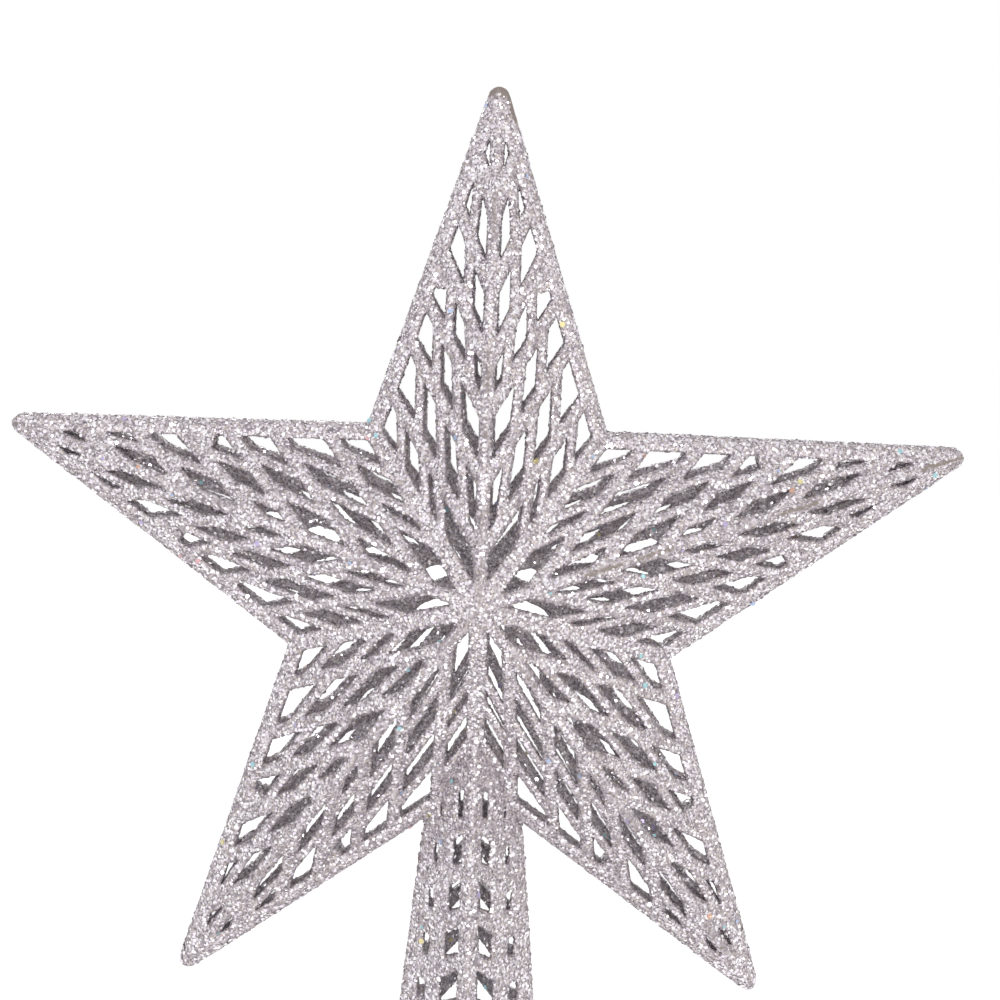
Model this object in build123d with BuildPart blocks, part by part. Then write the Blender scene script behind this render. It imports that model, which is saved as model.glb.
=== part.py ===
from build123d import *
from math import cos, radians, sin, tan
import os

# Openwork star for the top of a tree, moulded as a front and a rear half that meet at the plane y = 0.
# Millimetres. The origin is the centre of the socket's mouth, +Z runs up the socket to the top tip,
# and the front faces -Y. Each half is cut at its valleys into five arms and half of the socket.

# Star outline, measured from the star's centre
STAR_HEIGHT = 120.0             # star's centre above the socket's mouth
TIP_RADIUS = 110.0              # to the sharp corner where a tip's two sides would meet
VALLEY_RADIUS = 42.8            # to an inner corner
TIP_ROUND_RADIUS = 2.1
ARM_PITCH = 72.0                # degrees from one arm to the next
VALLEY_TURN = ARM_PITCH / 2     # degrees from an arm's ridge to the valley beside it

# Roof of a half: ten flat facets that rise from the rim to the peak
RIM_DEPTH = 1.5                 # rim's outer edge, from the parting plane to the foot of the roof
ROOF_RISE = 22.8                # foot of the roof to the peak
ROOF_WALL = 2.6                 # roof's thickness along Y, the way the mould opens
PEAK_HEIGHT = RIM_DEPTH + ROOF_RISE

# Ribs of a facet as seen from the front. Slanted ribs leave the ridge and run out to the rim, the first
# of them being the valley itself, and short links cross each band between two neighbours.
RIDGE_RIB_WIDTH = 2.4
VALLEY_RIB_WIDTH = 3.4
RIM_RIB_WIDTH = 3.0
SLANT_RIB_WIDTH = 2.3
LINK_WIDTH = 1.5
RIDGE_SHARES = (0.0, 0.098, 0.225, 0.348, 0.439, 0.575, 0.721, 0.864)   # of the way, centre to tip
RIM_SHARES = (0.0, 0.127, 0.273, 0.394, 0.53, 0.651, 0.806, 0.847)      # of the way, valley to tip
LINK_SHARES = (                                                         # of the way, ridge to rim
    (0.379, 0.531, 0.758),
    (0.224, 0.468, 0.712),
    (0.379, 0.657),
    (0.302, 0.635),
    (0.476,),
    (0.59,),
    (),
)
LINK_LEAN_SHARE = 0.14          # how much nearer the rim a link's outer end is than its inner end

# Locating bosses beside the rim: a pin on one side of each arm's ridge and a hole on the other, so the
# same moulding serves for the front and, turned round, for the rear
BOSS_RADIUS = 2.8
BOSS_HEIGHT = 2.3
BOSS_INSET = 4.0                # boss's centre in from the rim
BOSS_RIM_SHARE = 0.443          # of the way, valley to tip
PIN_RADIUS = 1.2
PIN_LENGTH = 2.2
PIN_CLEARANCE = 0.05            # round the pin
PIN_END_CLEARANCE = 0.4         # past the pin's end

# Socket: a tapered openwork tube, square and standing on its corner, so that a ridge runs up the front of it
# and a collar with a round bore closes its mouth
MOUTH_REACH = 17.4              # axis to a corner at the mouth
SOCKET_TAPER = 5.55             # degrees, corner to axis
SOCKET_WALL = 1.6
COLLAR_HEIGHT = 7.0
SQUARE_SIDES = 4
SOCKET_SLOPE = tan(radians(SOCKET_TAPER))
HALF_CORNER = 180 / SQUARE_SIDES                    # degrees, axis to side
WALL_INSET = SOCKET_WALL / cos(radians(HALF_CORNER))    # wall as measured towards a corner

# Openings of the socket, in rows: a chevron each side of the middle rib and a slot near each edge
MIDDLE_RIB_WIDTH = 3.6
SIDE_RIB_WIDTH = 3.1            # between a chevron and its slot
BORDER_WIDTH = 2.9              # between a slot and the socket's edge
ROW_COUNT = 7
ROW_PITCH = 9.7
LOWEST_ROW_HEIGHT = 17.0        # above the mouth
CHEVRON_WIDTH_SHARE = 0.66      # of a row's open width, the slot having the rest
CHEVRON_FALL_SHARE = 0.8        # of its width, that a chevron falls away from the middle rib
SLOT_FALL_SHARE = 0.5           # of its way from the middle rib, that a slot lies lower
CHEVRON_INNER_HEIGHT = 6.9
CHEVRON_OUTER_HEIGHT = 5.8
SLOT_HEIGHT = 4.6

# Solid border of the roof round the socket, a pointed arch
ARCH_BORDER_WIDTH = 0.6

OVERRUN = 5.0                   # how far a cut runs on past what it cuts

ARM_TURNS = {                   # degrees clockwise from the top, seen from the front
    "top": 0 * ARM_PITCH,
    "right": 1 * ARM_PITCH,
    "lower_right": 2 * ARM_PITCH,
    "lower_left": 3 * ARM_PITCH,
    "left": 4 * ARM_PITCH,
}
SOCKET_ARMS = ("lower_right", "lower_left")     # the arms that the socket comes out between
FACINGS = {"front": (0, -1, 0), "rear": (0, 1, 0)}

# An arm's own plan: across its ridge, then out along it from the star's centre
CENTRE = Vector(0, 0)
TIP = Vector(0, TIP_RADIUS)
INNER_ACROSS = VALLEY_RADIUS * sin(radians(VALLEY_TURN))
INNER_ALONG = VALLEY_RADIUS * cos(radians(VALLEY_TURN))


def socket_reach(height):
    """Socket's axis to an outer corner at a height above its mouth."""
    return MOUTH_REACH - SOCKET_SLOPE * height


BORE_RADIUS = (socket_reach(COLLAR_HEIGHT) - WALL_INSET) * cos(radians(HALF_CORNER))

# Where the socket's front ridge meets the bottom valley of the roof, and its sides meet the rim
CENTRE_REACH = socket_reach(STAR_HEIGHT)
ARCH_TOP_DEPTH = (PEAK_HEIGHT - CENTRE_REACH) / (ROOF_RISE / VALLEY_RADIUS + SOCKET_SLOPE)
RIM_RUN_ACROSS = TIP_RADIUS * sin(radians(VALLEY_TURN))
RIM_RUN_DOWN = TIP_RADIUS * cos(radians(VALLEY_TURN)) - VALLEY_RADIUS
FOOT_SHARE = socket_reach(STAR_HEIGHT - VALLEY_RADIUS) / (RIM_RUN_ACROSS - SOCKET_SLOPE * RIM_RUN_DOWN)
ARCH_FOOT_DEPTH = VALLEY_RADIUS + FOOT_SHARE * RIM_RUN_DOWN
ARCH_FOOT_ACROSS = FOOT_SHARE * RIM_RUN_ACROSS
SOCKET_TOP = STAR_HEIGHT - ARCH_TOP_DEPTH + OVERRUN


def star_plane(turn, facing):
    """Plane of one arm's plan, with Y out along the arm and Z towards the half's face."""
    along = Vector(sin(radians(turn)), 0, cos(radians(turn)))
    return Plane(origin=(0, 0, STAR_HEIGHT), x_dir=along.cross(Vector(facing)), z_dir=facing)


def on_way(start, end, share):
    """Point a share of the way from start to end."""
    return start + (end - start) * share


def inner_corner(side):
    """Inner corner on one side of an arm."""
    return Vector(side * INNER_ACROSS, INNER_ALONG)


def boss_centre(side):
    """Centre of the boss on one side of an arm."""
    corner = inner_corner(side)
    run = (TIP - corner).normalized()
    inward = Vector(-side * run.Y, side * run.X)
    return on_way(corner, TIP, BOSS_RIM_SHARE) + inward * BOSS_INSET


def arm_outline(plane, tip_round):
    """Kite that one arm covers, its tip rounded or sharp."""
    with BuildSketch(plane) as outline:
        with BuildLine():
            Polyline(CENTRE, inner_corner(1), TIP, inner_corner(-1), close=True)
        make_face()
        if tip_round:
            fillet(outline.vertices().sort_by(Axis.Y)[-1], TIP_ROUND_RADIUS)
    return outline.sketch


def socket_arch():
    """Pointed arch round the socket, wide enough to leave a solid border on the roof."""
    foot = Vector(ARCH_FOOT_ACROSS + ARCH_BORDER_WIDTH, -ARCH_FOOT_DEPTH)
    top = Vector(0, ARCH_BORDER_WIDTH - ARCH_TOP_DEPTH)
    hem = foot - Vector(0, OVERRUN)
    with BuildSketch(star_plane(0, FACINGS["front"])) as arch:
        with BuildLine():
            Polyline(top, Vector(0, hem.Y), hem, foot, close=True)
        make_face()
        mirror(about=Plane.YZ)
    return arch.sketch


def arm_lattice(plane, beside_socket):
    """Ribs of one arm as seen from the front, inside its rounded outline."""
    with BuildSketch(plane) as plan:
        for side in (1, -1):
            corner = inner_corner(side)
            ridge_ends = [on_way(CENTRE, TIP, share) for share in RIDGE_SHARES]
            rim_ends = [on_way(corner, TIP, share) for share in RIM_SHARES]
            with BuildLine():
                Line(CENTRE, TIP)
            trace(line_width=RIDGE_RIB_WIDTH)
            with BuildLine():
                Line(CENTRE, corner)
            trace(line_width=VALLEY_RIB_WIDTH)
            with BuildLine():
                Line(corner + (corner - TIP).normalized() * RIM_RIB_WIDTH, TIP)
            trace(line_width=2 * RIM_RIB_WIDTH)
            with BuildLine():
                for ridge_end, rim_end in zip(ridge_ends[1:], rim_ends[1:]):
                    Line(ridge_end, rim_end)
            trace(line_width=SLANT_RIB_WIDTH)
            with BuildLine():
                for band, shares in enumerate(LINK_SHARES):
                    for share in shares:
                        Line(
                            on_way(ridge_ends[band], rim_ends[band], share - LINK_LEAN_SHARE / 2),
                            on_way(ridge_ends[band + 1], rim_ends[band + 1], share + LINK_LEAN_SHARE / 2),
                        )
            trace(line_width=LINK_WIDTH)
            with BuildLine():
                Polyline(ridge_ends[-1], rim_ends[-1], TIP, close=True)
            make_face()
            with Locations(boss_centre(side)):
                Circle(BOSS_RADIUS)
        if beside_socket:
            add(plane.to_local_coords(socket_arch()))
        add(arm_outline(Plane.XY, True), mode=Mode.INTERSECT)
    return plan.sketch


def roof(plane, foot_height, mode):
    """Pyramid over one arm, from the foot of its roof to the peak."""
    peak = plane.offset(foot_height + ROOF_RISE).origin
    loft([arm_outline(plane.offset(foot_height), False).face(), Vertex(*peak)], ruled=True, mode=mode)


def filled_arm(plane, mode):
    """Whole of what one arm encloses, from the parting plane to its roof."""
    extrude(arm_outline(plane, False), amount=RIM_DEPTH, mode=mode)
    roof(plane, RIM_DEPTH, mode)


def disc(plane, centre, radius):
    """Round face on a plane."""
    with BuildSketch(plane) as round_face:
        with Locations(centre):
            Circle(radius)
    return round_face.sketch


def square_section(height, reach):
    """Square of the socket's section at a height, a corner towards each side, the front and the rear."""
    with BuildSketch(Plane.XY.offset(height)) as section:
        RegularPolygon(reach, SQUARE_SIDES)
    return section.sketch.face()


def square_taper(low, high, inset, mode):
    """Tapered square solid between two heights, its corners inset from the socket's."""
    loft([square_section(height, socket_reach(height) - inset) for height in (low, high)], ruled=True, mode=mode)


def socket_openings(plane):
    """Rows of chevrons and slots as seen from the front."""
    with BuildSketch(plane) as plan:
        for row in range(ROW_COUNT):
            level = LOWEST_ROW_HEIGHT + row * ROW_PITCH
            slot_outer = socket_reach(level) - BORDER_WIDTH
            chevron_inner = MIDDLE_RIB_WIDTH / 2
            open_width = slot_outer - SIDE_RIB_WIDTH - chevron_inner
            chevron_width = open_width * CHEVRON_WIDTH_SHARE
            chevron_outer = chevron_inner + chevron_width
            slot_width = open_width - chevron_width
            outer_level = level - chevron_width * CHEVRON_FALL_SHARE
            slot_middle = slot_outer - slot_width / 2
            slot_level = level - (slot_middle - chevron_inner) * SLOT_FALL_SHARE
            for side in (1, -1):
                with BuildLine():
                    Polyline(
                        (side * chevron_inner, level - CHEVRON_INNER_HEIGHT / 2),
                        (side * chevron_inner, level + CHEVRON_INNER_HEIGHT / 2),
                        (side * chevron_outer, outer_level + CHEVRON_OUTER_HEIGHT / 2),
                        (side * chevron_outer, outer_level - CHEVRON_OUTER_HEIGHT / 2),
                        close=True,
                    )
                make_face()
                with Locations((side * slot_middle, slot_level)):
                    Rectangle(slot_width, SLOT_HEIGHT)
    return plan.sketch


os.makedirs("parts", exist_ok=True)

for half, facing in FACINGS.items():
    # The five arms of a half
    for arm_name, turn in ARM_TURNS.items():
        plane = star_plane(turn, facing)
        beside_socket = arm_name in SOCKET_ARMS
        with BuildPart() as arm:
            filled_arm(plane, Mode.ADD)
            roof(plane, RIM_DEPTH - ROOF_WALL, Mode.SUBTRACT)
            for side in (1, -1):
                extrude(disc(plane, boss_centre(side), BOSS_RADIUS), amount=BOSS_HEIGHT)
            extrude(arm_lattice(plane, beside_socket), amount=PEAK_HEIGHT, mode=Mode.INTERSECT)
            extrude(disc(plane, boss_centre(1), PIN_RADIUS), amount=-PIN_LENGTH)
            extrude(
                disc(plane, boss_centre(-1), PIN_RADIUS + PIN_CLEARANCE),
                amount=PIN_LENGTH + PIN_END_CLEARANCE,
                mode=Mode.SUBTRACT,
            )
            if beside_socket:
                square_taper(0, SOCKET_TOP, WALL_INSET, Mode.SUBTRACT)
        arm.part.label = f"{half}_{arm_name}_arm"
        export_step(arm.part, f"parts/{arm.part.label}.step")

    # The half of the socket below them, which stands on the roof of the two lower arms
    face_plane = Plane(origin=(0, 0, 0), x_dir=Vector(0, 0, 1).cross(Vector(facing)), z_dir=facing)
    with BuildPart() as socket:
        square_taper(0, SOCKET_TOP, 0, Mode.ADD)
        square_taper(COLLAR_HEIGHT, SOCKET_TOP, WALL_INSET, Mode.SUBTRACT)
        extrude(disc(Plane.XY, CENTRE, BORE_RADIUS), amount=COLLAR_HEIGHT, mode=Mode.SUBTRACT)
        split(bisect_by=face_plane, keep=Keep.TOP)
        extrude(socket_openings(face_plane), amount=MOUTH_REACH + OVERRUN, mode=Mode.SUBTRACT)
        for arm_name in SOCKET_ARMS:
            filled_arm(star_plane(ARM_TURNS[arm_name], facing), Mode.SUBTRACT)
    socket.part.label = f"{half}_socket_half"
    export_step(socket.part, f"parts/{socket.part.label}.step")
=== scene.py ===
"""Christmas tree topper star: an openwork plastic star in two half mouldings, coated with silver glitter."""

import math

import bmesh
import bpy
import numpy as np
from mathutils import Matrix, Vector


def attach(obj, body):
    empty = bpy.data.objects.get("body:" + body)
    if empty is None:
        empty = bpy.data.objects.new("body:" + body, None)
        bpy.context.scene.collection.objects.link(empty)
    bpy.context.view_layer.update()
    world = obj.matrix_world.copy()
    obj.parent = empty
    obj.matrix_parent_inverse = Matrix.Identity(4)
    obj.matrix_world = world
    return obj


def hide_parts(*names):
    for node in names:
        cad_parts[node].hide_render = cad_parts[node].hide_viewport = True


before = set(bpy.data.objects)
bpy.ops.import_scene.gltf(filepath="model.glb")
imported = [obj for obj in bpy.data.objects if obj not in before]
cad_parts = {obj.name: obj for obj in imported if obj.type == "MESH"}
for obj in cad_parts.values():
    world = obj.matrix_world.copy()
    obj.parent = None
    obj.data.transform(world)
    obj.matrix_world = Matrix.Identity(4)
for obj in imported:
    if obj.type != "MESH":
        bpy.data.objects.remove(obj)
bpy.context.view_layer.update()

# Sizes of the star, in metres
MM = 0.001
ARM_COUNT = 5
ARM_PITCH = math.tau / ARM_COUNT
STAR_CENTRE = Vector((0, 0, 120 * MM))
SHARP_TIP_RADIUS = 110 * MM
TIP_RADIUS = 105.5 * MM
VALLEY_RADIUS = 42.8 * MM
RIM_DEPTH = 1.5 * MM
ROOF_RISE = 22.8 * MM
HALVES = {"front": -1, "rear": 1}

# Rods of the lattice on one side of an arm, as shares of the ridge, of the rim and of the way between them
RIDGE_ROD_WIDTH = 2.4 * MM
VALLEY_ROD_WIDTH = 3.4 * MM
RIM_ROD_WIDTH = 3.0 * MM
SLANT_ROD_WIDTH = 2.3 * MM
LINK_WIDTH = 1.5 * MM
LINK_DROP = 0.15 * MM
RIDGE_SHARES = (0.0, 0.098, 0.225, 0.348, 0.439, 0.575, 0.721, 0.864)
RIM_SHARES = (0.0, 0.127, 0.273, 0.394, 0.53, 0.651, 0.806, 0.847)
LINK_SHARES = (
    (0.379, 0.531, 0.758),
    (0.224, 0.468, 0.712),
    (0.379, 0.657),
    (0.302, 0.635),
    (0.476,),
    (0.59,),
    (),
)
LINK_LEAN_SHARE = 0.14
ROD_ROUNDNESS = 0.7 * MM

# Plan of one side of an arm, seen along the mould's pull: across the ridge, then along it
CENTRE = np.zeros(2)
TIP = np.array((0, SHARP_TIP_RADIUS))
VALLEY = VALLEY_RADIUS * np.array((math.sin(ARM_PITCH / 2), math.cos(ARM_PITCH / 2)))
RIM_RUN = (TIP - VALLEY) / np.linalg.norm(TIP - VALLEY)
RIM_OUTWARD = np.array((RIM_RUN[1], -RIM_RUN[0]))

# Sizes of the coat
MERGE_DISTANCE = 0.002 * MM
COAT_GRID = 0.26 * MM
COAT_SMOOTHING_SHARE = 0.4
COAT_SMOOTHING_ROUNDS = 2
COAT_THICKNESS = 0.2 * MM
LUMP_SIZE = 1.4 * MM
LUMP_HEIGHT = 0.3 * MM
COAT_FACE_SHARE = 0.117

# Wear of the coat, with its arms clockwise from the top, and the shares of a width over which it fades out
BARE_TIP_LENGTHS = (3.6 * MM, 2.0 * MM, 1.8 * MM, 1.8 * MM, 2.6 * MM)
TIP_FADE_SHARES = (0.5, 1.3)
RIDGE_WEAR = (0.55, 0.68, 0.5, 0.5, 0.45)
BARE_RIDGE_WIDTH = 0.8 * MM
RIDGE_FADE_SHARES = (0.2, 1.6)
RIDGE_WAVES = ((3.1, 0.37, 1.0), (7.3, 0.61, 0.7))  # waves to a ridge, shift from arm to arm, height
WORN_WAVE_RANGE = (-0.2, 0.6)
BARE_SEAM_SHARES = (0.05, 0.14)  # of the way from the top tip to the valley at its right
BARE_SEAM_WIDTH = 2.4 * MM
SEAM_FADE_SHARES = (0.5, 1.3)

# Look of the coat. Its grains are drawn a little coarser than real fine glitter, so that they show
GRAIN_SIZE = 0.5 * MM
GRAIN_LEAN = 0.7
COAT_METALLIC = 0.15
COAT_ROUGHNESS = 0.34
PLASTIC_ROUGHNESS = 0.5
BLOTCH_SIZE = 4 * MM
SPECKLE_SIZE = 0.7 * MM
BARE_RANGE = (0.85, 1.2)  # of wear and speckle together, from the first plastic that shows to all of it

# Glitter strewn over the coat: its layers, and what the scatter is given
FLAKE_SIDES = 6
FLAKE_SIZE_SHARES = (0.7, 1.15)
FLAKELESS_WEAR = 0.6
WALL_SLOPES = (0.1, 0.5)  # of a face's normal along the mould's pull, from a wall to the roof
FILM_DRAW_SEED = 7
GLITTER_LAYERS = {"fine_flakes": 4, "bright_flakes": 1, "large_flakes": 1}
GLITTER_SIZES = {
    "fine_flakes": {
        "Flake Radius": 0.23 * MM,
        "Flakes per Square Metre": 1.08 / MM**2,
        "Tilt": math.radians(15),
        "Lift": 0.05 * MM,
        "Wall Share": 1.0,
    },
    "bright_flakes": {
        "Flake Radius": 0.38 * MM,
        "Flakes per Square Metre": 0.65 / MM**2,
        "Tilt": math.radians(22),
        "Lift": 0.11 * MM,
        "Wall Share": 0.3,
    },
    "large_flakes": {
        "Flake Radius": 0.6 * MM,
        "Flakes per Square Metre": 0.005 / MM**2,
        "Tilt": math.radians(14),
        "Lift": 0.2 * MM,
        "Wall Share": 0.1,
    },
}

# Films that the flakes are cut from: colour, metallic, roughness and the share of the flakes
GLITTER_FILMS = {
    "fine_flakes": {
        "silver_film": ("#f0e8ec", 0.2, 0.4, 0.3),
        # painted shade: a darker copy of the silver film, standing in for flakes turned away from the light
        "painted_shade_silver_film": ("#968b94", 0.2, 0.4, 0.32),
        "warm_silver_film": ("#cabeb6", 0.2, 0.4, 0.22),
        "spark_film": ("#f4f1f3", 1.0, 0.25, 0.16),
    },
    "bright_flakes": {
        "mirror_film": ("#f4f1f3", 1.0, 0.2, 0.6),
        "lilac_mirror_film": ("#e6dfe9", 1.0, 0.2, 0.4),
    },
    "large_flakes": {
        "aqua_film": ("#a9d3da", 0.5, 0.3, 0.27),
        "sky_film": ("#b9c8e6", 0.5, 0.3, 0.28),
        "gold_film": ("#e6dca6", 0.5, 0.3, 0.12),
        "coral_film": ("#dbb09b", 0.5, 0.3, 0.08),
        "violet_film": ("#c6b9df", 0.5, 0.3, 0.17),
        "rose_film": ("#d8abb0", 0.5, 0.3, 0.08),
    },
}

# Light of the room on the object, the floor, and the lamps: place and width in metres, watts and colour
ROOM_LIGHT = 0.47
FLOOR_REACH = 3.0
FLOOR_GLOW = 0.58
LAMPS = (
    ("front_lamp", (0.01, -0.46, 0.21), 0.1, 0.74, "#ffffff"),
    ("warm_lamp", (0.65, -0.65, 0.4), 0.35, 0.9, "#fff8ee"),
    ("cool_lamp", (-0.75, -0.6, 0.8), 0.8, 0.95, "#f5f0fb"),
    ("rear_lamp", (-0.3, 0.8, 0.6), 0.6, 2.0, "#ffffff"),
)

# Camera: angles in radians, and its place as shares of the sharp tip radius
CAMERA_AZIMUTH = 0.0102
CAMERA_ELEVATION = 0.1257
CAMERA_ROLL = 0.03694
CAMERA_DISTANCE_SHARE = 3.957
CAMERA_SHIFT_SHARES = Vector((0.02952, 0, 0.17635))
SENSOR_WIDTH = 36
LENS_SHARE = 2.04478  # of the sensor's width


def linear(hex_colour):
    """A linear RGBA colour from an sRGB hex value."""
    channels = [int(hex_colour[i : i + 2], 16) / 255 for i in (1, 3, 5)]
    return (*[c / 12.92 if c <= 0.04045 else ((c + 0.055) / 1.055) ** 2.4 for c in channels], 1)


def add_node(tree, kind, settings=None, **inputs):
    """A node with its settings, and its inputs, by name or as i0, i1, set to values or linked to outputs."""
    node = tree.nodes.new(kind)
    for name, value in (settings or {}).items():
        setattr(node, name, value)
    for name, value in inputs.items():
        key = int(name[1:]) if name[1:].isdigit() else name.replace("_", " ")
        if isinstance(value, bpy.types.NodeSocket):
            tree.links.new(value, node.inputs[key])
        else:
            node.inputs[key].default_value = value
    return node


def new_material(name):
    """An empty node material and its tree."""
    material = bpy.data.materials.new(name)
    material.use_nodes = True
    material.node_tree.nodes.clear()
    return material, material.node_tree


def grain_colour(tree, draw):
    """The tones of the coat's grains, from dark lilac grey to nearly white."""
    tones = add_node(tree, "ShaderNodeValToRGB", Fac=draw)
    tones.color_ramp.elements[0].color = linear("#978f96")
    tones.color_ramp.elements[1].color = linear("#ece6ea")
    for at, tone in ((0.35, "#b9b0b6"), (0.7, "#d1c8ce")):
        tones.color_ramp.elements.new(at).color = linear(tone)
    return tones.outputs["Color"]


def plastic_colour(tree, place):
    """The taupe of the bare moulded plastic, a little blotchy."""
    blotches = add_node(tree, "ShaderNodeTexNoise", Vector=place, Scale=1 / BLOTCH_SIZE, Detail=3.0)
    tones = add_node(tree, "ShaderNodeValToRGB", Fac=blotches.outputs["Fac"])
    tones.color_ramp.elements[0].color = linear("#877b75")
    tones.color_ramp.elements[1].color = linear("#9c9089")
    return tones.outputs["Color"]


def bareness_of(tree, place):
    """How much plastic shows: none where the coat is whole, speckled at the edge of a worn place."""
    worn = add_node(tree, "ShaderNodeAttribute", {"attribute_name": "wear"})
    speckle = add_node(tree, "ShaderNodeTexNoise", Vector=place, Scale=1 / SPECKLE_SIZE, Detail=2.0)
    both = add_node(
        tree,
        "ShaderNodeMath",
        {"operation": "ADD"},
        i0=worn.outputs["Fac"],
        i1=speckle.outputs["Fac"],
    )
    start, end = BARE_RANGE
    bareness = add_node(
        tree,
        "ShaderNodeMapRange",
        {"interpolation_type": "SMOOTHSTEP"},
        Value=both.outputs[0],
        From_Min=start,
        From_Max=end,
    )
    return bareness.outputs["Result"]


def grain_normal(tree, grain, bareness):
    """A normal that leans its own way on each grain of the coat, and not at all on bare plastic."""
    lean = add_node(tree, "ShaderNodeVectorMath", {"operation": "SUBTRACT"}, i0=grain, i1=(0.5, 0.5, 0.5))
    amount = add_node(tree, "ShaderNodeMapRange", Value=bareness, To_Min=GRAIN_LEAN, To_Max=0.0)
    leaning = add_node(
        tree,
        "ShaderNodeVectorMath",
        {"operation": "SCALE"},
        i0=lean.outputs[0],
        Scale=amount.outputs["Result"],
    )
    surface = add_node(tree, "ShaderNodeNewGeometry").outputs["Normal"]
    facing = add_node(tree, "ShaderNodeVectorMath", {"operation": "ADD"}, i0=surface, i1=leaning.outputs[0])
    return add_node(tree, "ShaderNodeVectorMath", {"operation": "NORMALIZE"}, i0=facing.outputs[0]).outputs[0]


def glitter_coat():
    """Clear lacquer full of fine aluminised film over moulded ABS.

    The eye sees close grains, each one tilted its own way, from dark lilac grey to nearly white. Where the
    coat is rubbed off, the smooth taupe plastic shows.
    """
    material, tree = new_material("glitter_lacquer_on_abs")
    place = add_node(tree, "ShaderNodeTexCoord").outputs["Object"]
    grain = add_node(tree, "ShaderNodeTexVoronoi", Vector=place, Scale=1 / GRAIN_SIZE).outputs["Color"]
    draw = add_node(tree, "ShaderNodeSeparateColor", Color=grain).outputs["Red"]
    bareness = bareness_of(tree, place)
    colour = add_node(
        tree,
        "ShaderNodeMix",
        {"data_type": "RGBA"},
        i0=bareness,
        i6=grain_colour(tree, draw),
        i7=plastic_colour(tree, place),
    )
    metal = add_node(tree, "ShaderNodeMapRange", Value=bareness, To_Min=COAT_METALLIC, To_Max=0.0)
    rough = add_node(
        tree,
        "ShaderNodeMapRange",
        Value=bareness,
        To_Min=COAT_ROUGHNESS,
        To_Max=PLASTIC_ROUGHNESS,
    )
    shader = add_node(
        tree,
        "ShaderNodeBsdfPrincipled",
        Base_Color=colour.outputs["Result"],
        Metallic=metal.outputs["Result"],
        Roughness=rough.outputs["Result"],
        Normal=grain_normal(tree, grain, bareness),
    )
    add_node(tree, "ShaderNodeOutputMaterial", Surface=shader.outputs[0])
    return material


def flake_film(name, colour, metallic, roughness):
    """Polyester film, cut into flakes: a small flat mirror, dulled by the lacquer over it. The shaded silver
    film is the silver film darkened with painted shade.
    """
    material, tree = new_material(name)
    shader = add_node(
        tree,
        "ShaderNodeBsdfPrincipled",
        Base_Color=linear(colour),
        Metallic=metallic,
        Roughness=roughness,
    )
    add_node(tree, "ShaderNodeOutputMaterial", Surface=shader.outputs[0])
    return material


def film_set(films):
    """The materials of a set of films, each with its share."""
    return [(flake_film(name, *finish), share) for name, (*finish, share) in films.items()]


def smooth_step(values, start, end):
    """0 before start, 1 past end, and an even curve between them."""
    share = np.clip((values - start) / (end - start), 0, 1)
    return share * share * (3 - 2 * share)


def on_way(start, end, share):
    """The place a share of the way from start to end."""
    return start + (end - start) * share


def distance_to(places, start, end):
    """How far each place is from the straight run from start to end, and its share along that."""
    way = end - start
    share = np.clip((places - start) @ way / (way @ way), 0, 1)
    return np.linalg.norm(places - start - share[:, None] * way, axis=1), share


def plan_of(points):
    """Each point's place in the plan of the arm it is on: how far across its ridge, and along it."""
    rightward = points[:, 0] - STAR_CENTRE.x
    upward = points[:, 2] - STAR_CENTRE.z
    turn = np.arctan2(rightward, upward)
    turn -= ARM_PITCH * np.round(turn / ARM_PITCH)
    radius = np.hypot(rightward, upward)
    return np.stack((np.abs(radius * np.sin(turn)), radius * np.cos(turn)), axis=1)


def arm_rods():
    """The rods on one side of an arm's plan: start, end, width, and how far the crest lies below the roof."""
    inward = -RIM_OUTWARD * RIM_ROD_WIDTH / 2
    rods = [
        (CENTRE, TIP, RIDGE_ROD_WIDTH, 0),
        (CENTRE, VALLEY, VALLEY_ROD_WIDTH, 0),
        (VALLEY + inward, TIP + inward, RIM_ROD_WIDTH, 0),
    ]
    ridge_ends = [on_way(CENTRE, TIP, share) for share in RIDGE_SHARES]
    rim_ends = [on_way(VALLEY, TIP, share) for share in RIM_SHARES]
    for band, shares in enumerate(LINK_SHARES):
        rods.append((ridge_ends[band + 1], rim_ends[band + 1], SLANT_ROD_WIDTH, 0))
        for share in shares:
            start = on_way(ridge_ends[band], rim_ends[band], share - LINK_LEAN_SHARE / 2)
            end = on_way(ridge_ends[band + 1], rim_ends[band + 1], share + LINK_LEAN_SHARE / 2)
            rods.append((start, end, LINK_WIDTH, LINK_DROP))
    return rods


def roof_height(plan):
    """The height of the flat roof over the parting plane, at each place of an arm's plan."""
    return RIM_DEPTH + ROOF_RISE * (1 - plan @ RIM_OUTWARD / (VALLEY @ RIM_OUTWARD))


def rounded_rods(points, side):
    """Points of one half with the flat roof cut back to round-topped rods."""
    plan = plan_of(points)
    sunk = np.full(len(points), ROD_ROUNDNESS)
    for start, end, width, drop in arm_rods():
        away = distance_to(plan, start, end)[0]
        crest = np.sqrt(np.clip(1 - (away / (width / 2)) ** 2, 0, 1))
        sunk = np.minimum(sunk, drop + (ROD_ROUNDNESS - drop) * (1 - crest))
    below_roof = roof_height(plan) - side * points[:, 1]
    on_roof = (below_roof > -COAT_GRID) & (below_roof < ROD_ROUNDNESS)
    moved = points.copy()
    moved[:, 1] -= side * np.where(on_roof, np.maximum(sunk - below_roof, 0), 0)
    return moved


def rubbed_near(away, width, fade_shares):
    """1 close to a worn place, and 0 past the shares of its width over which the wear fades out."""
    start, end = fade_shares
    return 1 - smooth_step(away, start * width, end * width)


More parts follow.
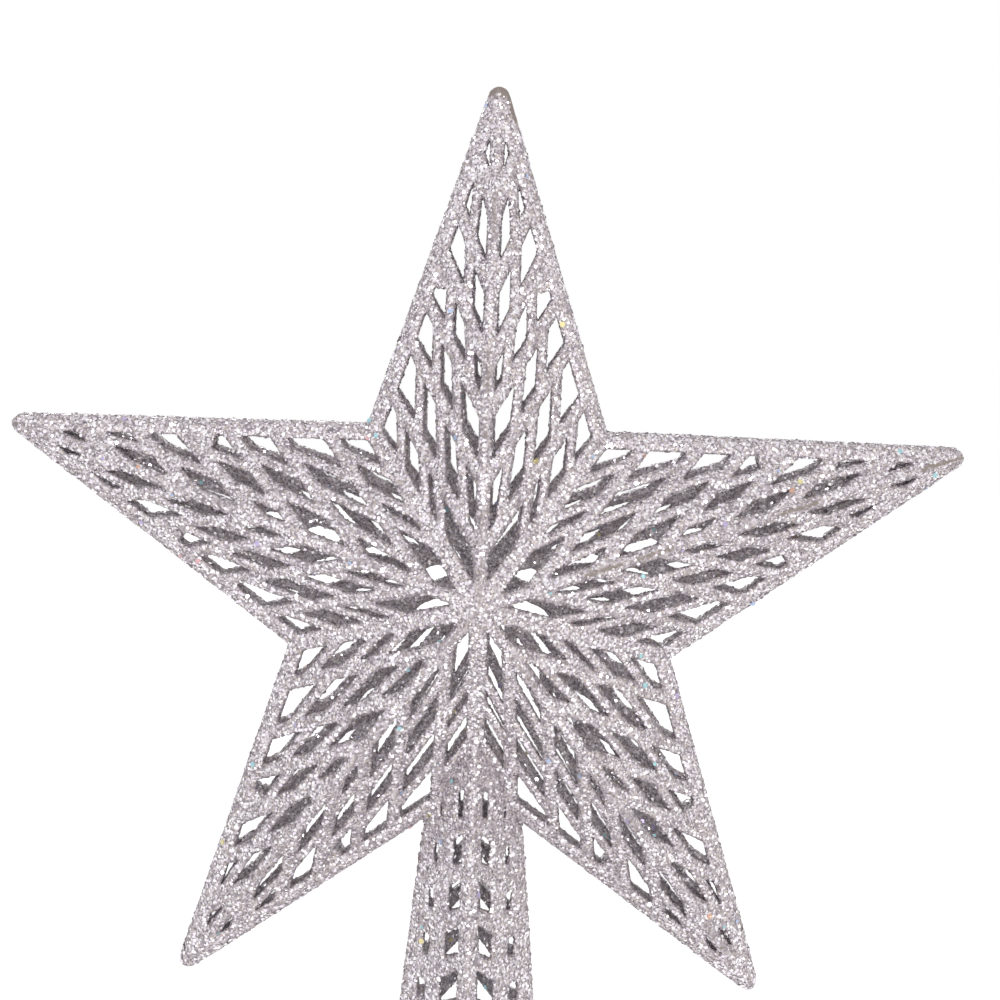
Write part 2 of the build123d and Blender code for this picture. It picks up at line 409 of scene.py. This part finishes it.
def arm_wear(points, side, arm):
    """The wear of one arm: wholly bare at its tip, and rubbed off in patches along its ridge."""
    centre = np.array(STAR_CENTRE)
    outward = np.array((math.sin(ARM_PITCH * arm), 0, math.cos(ARM_PITCH * arm)))
    peak = centre + np.array((0, side * (RIM_DEPTH + ROOF_RISE), 0))
    foot = centre + outward * SHARP_TIP_RADIUS + np.array((0, side * RIM_DEPTH, 0))
    away, share = distance_to(points, peak, foot)
    on_ridge = rubbed_near(away, BARE_RIDGE_WIDTH, RIDGE_FADE_SHARES)
    waves = np.zeros(len(points))
    for count, shift, height in RIDGE_WAVES:
        waves += height * np.sin(math.tau * (count * share + shift * arm))
    rubbed = on_ridge * smooth_step(waves, *WORN_WAVE_RANGE) * RIDGE_WEAR[arm]
    from_tip = np.linalg.norm(points - (centre + outward * TIP_RADIUS), axis=1)
    return np.maximum(rubbed, rubbed_near(from_tip, BARE_TIP_LENGTHS[arm], TIP_FADE_SHARES))


def wear_of(points, side):
    """How far the coat is rubbed off at each point: on the arms, and at the seam beside the top tip."""
    seam_places = [on_way(TIP, VALLEY, share) for share in BARE_SEAM_SHARES]
    seam_ends = [np.array(STAR_CENTRE) + np.array((across, 0, along)) for across, along in seam_places]
    wear = rubbed_near(distance_to(points, *seam_ends)[0], BARE_SEAM_WIDTH, SEAM_FADE_SHARES)
    for arm in range(ARM_COUNT):
        wear = np.maximum(wear, arm_wear(points, side, arm))
    return wear


def points_of(mesh):
    """The places of a mesh's points as an array."""
    places = np.empty(len(mesh.vertices) * 3, np.float32)
    mesh.vertices.foreach_get("co", places)
    return places.reshape(-1, 3).astype(float)


def shown(name, mesh):
    """An object for a mesh, in the scene."""
    piece = bpy.data.objects.new(name, mesh)
    bpy.context.scene.collection.objects.link(piece)
    return piece


def made_plain(piece):
    """Turns an object's modified shape into its own plain mesh."""
    graph = bpy.context.evaluated_depsgraph_get()
    plain = bpy.data.meshes.new_from_object(piece.evaluated_get(graph), depsgraph=graph)
    plain.name = piece.name
    piece.modifiers.clear()
    piece.data = plain


def joined_solids(name, nodes):
    """One object with the solids of some nodes."""
    joined = bmesh.new()
    for node in nodes:
        joined.from_mesh(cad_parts[node].data)
    bmesh.ops.remove_doubles(joined, verts=joined.verts, dist=MERGE_DISTANCE)
    mesh = bpy.data.meshes.new(name)
    joined.to_mesh(mesh)
    joined.free()
    return shown(name, mesh)


def regrid(piece):
    """Grows an object's solids into one skin of even faces."""
    skin = piece.modifiers.new("one skin", "REMESH")
    skin.mode = "VOXEL"
    skin.voxel_size = COAT_GRID
    skin.use_smooth_shade = True


def coat_over(piece):
    """Rounds an object's edges over, and swells it unevenly by the thickness of the coat."""
    rounded = piece.modifiers.new("rounded over", "SMOOTH")
    rounded.factor = COAT_SMOOTHING_SHARE
    rounded.iterations = COAT_SMOOTHING_ROUNDS
    lumps = bpy.data.textures.new(piece.name + "_lumps", "CLOUDS")
    lumps.noise_scale = LUMP_SIZE
    swollen = piece.modifiers.new("lumps of glitter", "DISPLACE")
    swollen.texture = lumps
    swollen.texture_coords = "LOCAL"
    swollen.strength = LUMP_HEIGHT
    swollen.mid_level = 0.5 - COAT_THICKNESS / LUMP_HEIGHT
    lighter = piece.modifiers.new("fewer faces", "DECIMATE")
    lighter.ratio = COAT_FACE_SHARE


def coated_half(half, side, coat):
    """One half moulding with its coat: the solids of that half grown together, their edges rounded over."""
    nodes = [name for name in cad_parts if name.startswith(half)]
    piece = joined_solids(half + "_half", nodes)
    regrid(piece)
    made_plain(piece)
    piece.data.vertices.foreach_set("co", rounded_rods(points_of(piece.data), side).ravel())
    regrid(piece)
    coat_over(piece)
    made_plain(piece)

    wear = piece.data.attributes.new("wear", "FLOAT", "POINT")
    wear.data.foreach_set("value", wear_of(points_of(piece.data), side).astype(np.float32))
    piece.data.materials.clear()
    piece.data.materials.append(coat)
    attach(piece, "root")
    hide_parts(*nodes)
    return piece


def flake_density(tree, given):
    """How many flakes to a square metre: none where the coat is worn, and a share of them on the walls."""
    worn = add_node(tree, "GeometryNodeInputNamedAttribute", {"data_type": "FLOAT"}, Name="wear")
    kept = add_node(
        tree,
        "ShaderNodeMapRange",
        Value=worn.outputs["Attribute"],
        From_Max=FLAKELESS_WEAR,
        To_Min=1.0,
        To_Max=0.0,
    )
    normal = add_node(tree, "GeometryNodeInputNormal").outputs[0]
    along_pull = add_node(tree, "ShaderNodeSeparateXYZ", Vector=normal).outputs["Y"]
    slope = add_node(tree, "ShaderNodeMath", {"operation": "ABSOLUTE"}, i0=along_pull)
    wall, roof = WALL_SLOPES
    off_walls = add_node(
        tree,
        "ShaderNodeMapRange",
        Value=slope.outputs[0],
        From_Min=wall,
        From_Max=roof,
        To_Min=given["Wall Share"],
    )
    share = add_node(
        tree,
        "ShaderNodeMath",
        {"operation": "MULTIPLY"},
        i0=kept.outputs["Result"],
        i1=off_walls.outputs["Result"],
    )
    density = add_node(
        tree,
        "ShaderNodeMath",
        {"operation": "MULTIPLY"},
        i0=given["Flakes per Square Metre"],
        i1=share.outputs[0],
    )
    return density.outputs[0]


def flake_turn(tree, given, flat):
    """Each flake's turn: any way round on the surface it lies flat on, and tilted from that either way."""
    down = add_node(tree, "ShaderNodeMath", {"operation": "MULTIPLY"}, i0=given["Tilt"], i1=-1.0)
    least = add_node(tree, "ShaderNodeCombineXYZ", X=down.outputs[0], Y=down.outputs[0])
    most = add_node(tree, "ShaderNodeCombineXYZ", X=given["Tilt"], Y=given["Tilt"], Z=math.tau)
    turn = add_node(
        tree,
        "FunctionNodeRandomValue",
        {"data_type": "FLOAT_VECTOR"},
        i0=least.outputs[0],
        i1=most.outputs[0],
        Seed=given["Seed"],
    )
    turned = add_node(
        tree,
        "FunctionNodeRotateRotation",
        {"rotation_space": "LOCAL"},
        Rotation=flat,
        Rotate_By=turn.outputs[0],
    )
    return turned.outputs[0]


def cut_from_films(tree, flakes, films):
    """The flakes as plain faces, each one of the film that its draw gives."""
    draw = add_node(tree, "FunctionNodeRandomValue", {"data_type": "FLOAT"}, Seed=FILM_DRAW_SEED)
    drawn = add_node(
        tree,
        "GeometryNodeStoreNamedAttribute",
        {"data_type": "FLOAT", "domain": "INSTANCE"},
        Geometry=flakes,
        Name="draw",
        Value=draw.outputs[1],
    )
    strewn = add_node(tree, "GeometryNodeRealizeInstances", Geometry=drawn.outputs[0]).outputs[0]
    draws = add_node(tree, "GeometryNodeInputNamedAttribute", {"data_type": "FLOAT"}, Name="draw")
    passed = 0
    for film, share in films:
        chosen = add_node(
            tree,
            "FunctionNodeCompare",
            {"operation": "GREATER_EQUAL", "data_type": "FLOAT"},
            i0=draws.outputs["Attribute"],
            i1=passed,
        )
        strewn = add_node(
            tree,
            "GeometryNodeSetMaterial",
            Geometry=strewn,
            Selection=chosen.outputs[0],
            Material=film,
        ).outputs[0]
        passed += share
    return strewn


def flake_scatter(name, films):
    """A Geometry Nodes tree that strews six-sided flakes over a coat."""
    tree = bpy.data.node_groups.new(name, "GeometryNodeTree")
    tree.interface.new_socket("Coat", in_out="INPUT", socket_type="NodeSocketGeometry")
    for label in GLITTER_SIZES[name]:
        tree.interface.new_socket(label, in_out="INPUT", socket_type="NodeSocketFloat")
    tree.interface.new_socket("Seed", in_out="INPUT", socket_type="NodeSocketInt")
    tree.interface.new_socket("Flakes", in_out="OUTPUT", socket_type="NodeSocketGeometry")
    given = add_node(tree, "NodeGroupInput").outputs
    spots = add_node(
        tree,
        "GeometryNodeDistributePointsOnFaces",
        Mesh=given["Coat"],
        Density=flake_density(tree, given),
        Seed=given["Seed"],
    ).outputs
    lift = add_node(
        tree,
        "ShaderNodeVectorMath",
        {"operation": "SCALE"},
        i0=spots["Normal"],
        Scale=given["Lift"],
    )
    raised = add_node(tree, "GeometryNodeSetPosition", Geometry=spots["Points"], Offset=lift.outputs[0])
    outline = add_node(
        tree,
        "GeometryNodeMeshCircle",
        {"fill_type": "NGON"},
        Vertices=FLAKE_SIDES,
        Radius=given["Flake Radius"],
    )
    smallest, largest = FLAKE_SIZE_SHARES
    size = add_node(
        tree,
        "FunctionNodeRandomValue",
        {"data_type": "FLOAT"},
        i2=smallest,
        i3=largest,
        Seed=given["Seed"],
    )
    flakes = add_node(
        tree,
        "GeometryNodeInstanceOnPoints",
        Points=raised.outputs[0],
        Instance=outline.outputs["Mesh"],
        Rotation=flake_turn(tree, given, spots["Rotation"]),
        Scale=size.outputs[1],
    )
    add_node(tree, "NodeGroupOutput", Flakes=cut_from_films(tree, flakes.outputs[0], films))
    return tree


def strew_flakes(name, coat_piece, tree, sizes, seed):
    """A piece that holds the flakes strewn over one coat."""
    piece = shown(name, coat_piece.data.copy())
    modifier = piece.modifiers.new("strewn", "NODES")
    modifier.node_group = tree
    values = {**sizes, "Seed": seed}
    for socket in tree.interface.items_tree:
        if socket.name in values:
            modifier[socket.identifier] = values[socket.name]
    made_plain(piece)
    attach(piece, "root")


def background_rays(tree):
    """1 for rays from the camera, from a mirror or through a clear piece, which see the background itself."""
    path = add_node(tree, "ShaderNodeLightPath").outputs
    seen = path["Is Camera Ray"]
    for label in ("Is Glossy Ray", "Is Transmission Ray"):
        seen = add_node(tree, "ShaderNodeMath", {"operation": "MAXIMUM"}, i0=seen, i1=path[label]).outputs[0]
    return seen


def white_room():
    """A room that looks white and lights the object evenly from all round."""
    room = bpy.data.worlds.new("white_room")
    room.use_nodes = True
    tree = room.node_tree
    tree.nodes.clear()
    level = add_node(tree, "ShaderNodeMapRange", Value=background_rays(tree), To_Min=ROOM_LIGHT, To_Max=1.0)
    light = add_node(tree, "ShaderNodeBackground", Color=(1, 1, 1, 1), Strength=level.outputs["Result"])
    add_node(tree, "ShaderNodeOutputWorld", Surface=light.outputs[0])
    bpy.context.scene.world = room


def white_floor():
    """A sheet of white paper that the star stands on, brightened for the camera so that it meets the room."""
    mesh = bpy.data.meshes.new("floor")
    reach = FLOOR_REACH
    corners = [(-reach, -reach, 0), (reach, -reach, 0), (reach, reach, 0), (-reach, reach, 0)]
    mesh.from_pydata(corners, [], [(0, 1, 2, 3)])
    material, tree = new_material("white_paper")
    paper = add_node(tree, "ShaderNodeBsdfDiffuse", Color=linear("#f2f2f2"))
    seen = background_rays(tree)
    level = add_node(tree, "ShaderNodeMath", {"operation": "MULTIPLY"}, i0=seen, i1=FLOOR_GLOW)
    glow = add_node(tree, "ShaderNodeEmission", Color=(1, 1, 1, 1), Strength=level.outputs[0])
    both = add_node(tree, "ShaderNodeAddShader", i0=paper.outputs[0], i1=glow.outputs[0])
    add_node(tree, "ShaderNodeOutputMaterial", Surface=both.outputs[0])
    mesh.materials.append(material)
    shown("floor", mesh)


def soft_lamps():
    """The lamps, each a square panel turned to the star."""
    for name, place, width, watts, colour in LAMPS:
        lamp = bpy.data.lights.new(name, "AREA")
        lamp.size = width
        lamp.energy = watts
        lamp.color = linear(colour)[:3]
        holder = bpy.data.objects.new(name, lamp)
        holder.location = place
        holder.rotation_euler = (STAR_CENTRE - Vector(place)).to_track_quat("-Z", "Y").to_euler()
        bpy.context.scene.collection.objects.link(holder)


def photo_camera():
    """The camera of the photograph: a little to the right of the star, above it and turned."""
    level = math.cos(CAMERA_ELEVATION)
    back = Vector(
        (
            math.sin(CAMERA_AZIMUTH) * level,
            -math.cos(CAMERA_AZIMUTH) * level,
            math.sin(CAMERA_ELEVATION),
        )
    )
    across = (-back).cross(Vector((0, 0, 1))).normalized()
    upward = across.cross(-back)
    right = math.cos(CAMERA_ROLL) * across + math.sin(CAMERA_ROLL) * upward
    up = -math.sin(CAMERA_ROLL) * across + math.cos(CAMERA_ROLL) * upward
    place = STAR_CENTRE + SHARP_TIP_RADIUS * (CAMERA_DISTANCE_SHARE * back + CAMERA_SHIFT_SHARES)
    lens = bpy.data.cameras.new("camera")
    lens.sensor_width = SENSOR_WIDTH
    lens.lens = SENSOR_WIDTH * LENS_SHARE
    camera = bpy.data.objects.new("camera", lens)
    camera.matrix_world = Matrix.Translation(place) @ Matrix((right, up, back)).transposed().to_4x4()
    bpy.context.scene.collection.objects.link(camera)
    bpy.context.scene.camera = camera


bpy.context.scene.view_settings.view_transform = "Standard"
photo_camera()
white_room()
white_floor()
soft_lamps()

coat = glitter_coat()
scatters = {kind: flake_scatter(kind, film_set(films)) for kind, films in GLITTER_FILMS.items()}
seed = 0
for half, side in HALVES.items():
    coat_piece = coated_half(half, side, coat)
    for kind, layers in GLITTER_LAYERS.items():
        for layer in range(layers):
            seed += 1
            strew_flakes(f"{half}_{kind}_{layer + 1}", coat_piece, scatters[kind], GLITTER_SIZES[kind], seed)
